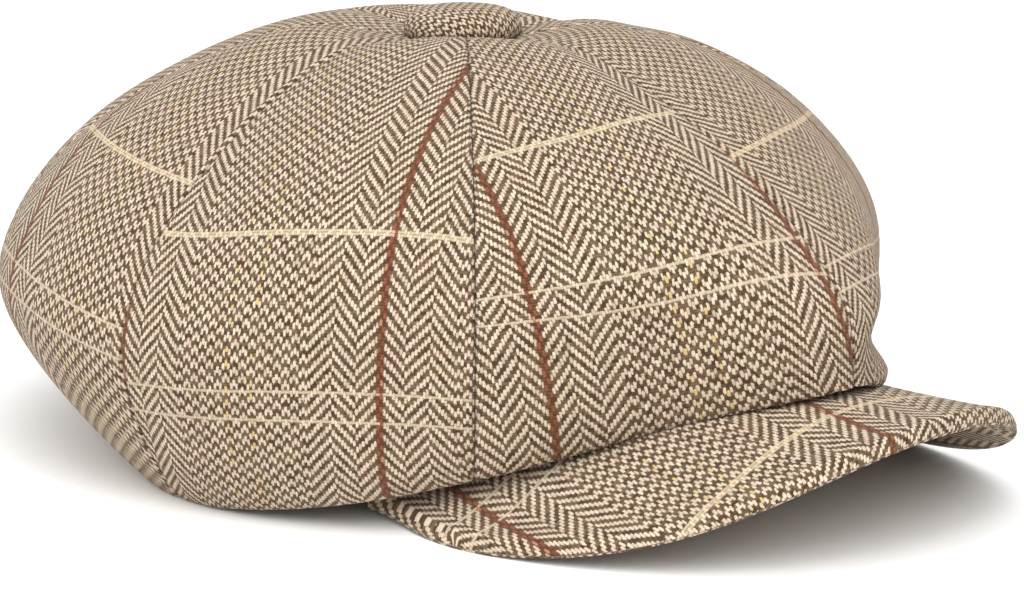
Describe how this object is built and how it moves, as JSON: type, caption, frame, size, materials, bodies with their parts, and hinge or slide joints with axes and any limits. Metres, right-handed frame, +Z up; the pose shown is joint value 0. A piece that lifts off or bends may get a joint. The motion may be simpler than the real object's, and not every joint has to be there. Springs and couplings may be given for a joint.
{
  "type": "newsboy cap",
  "caption": "Soft panelled newsboy cap in herringbone tweed with a covered button and a stitched peak",
  "frame": {"origin": "On the floor, under the middle of the cap's length and width", "axes": "+Z up, peak towards -Y, the wearer's left towards +X"},
  "size_m": [0.2604, 0.3246, 0.1289],
  "materials": {
    "tweed": "woven wool herringbone, matt",
    "band_tweed": "woven wool herringbone, matt",
    "peak_tweed": "woven wool herringbone over a stiff board, matt",
    "button_tweed": "woven wool herringbone over a domed former, matt"
  },
  "bodies": {
    "root": {"crown_front_left": "tweed", "crown_front_right": "tweed", "crown_temple_left": "tweed", "crown_temple_right": "tweed", "crown_side_left": "tweed", "crown_side_right": "tweed", "crown_back_left": "tweed", "crown_back_right": "tweed", "head_band": "band_tweed", "peak": "peak_tweed", "button": "button_tweed"}
  },
  "joints": []
}
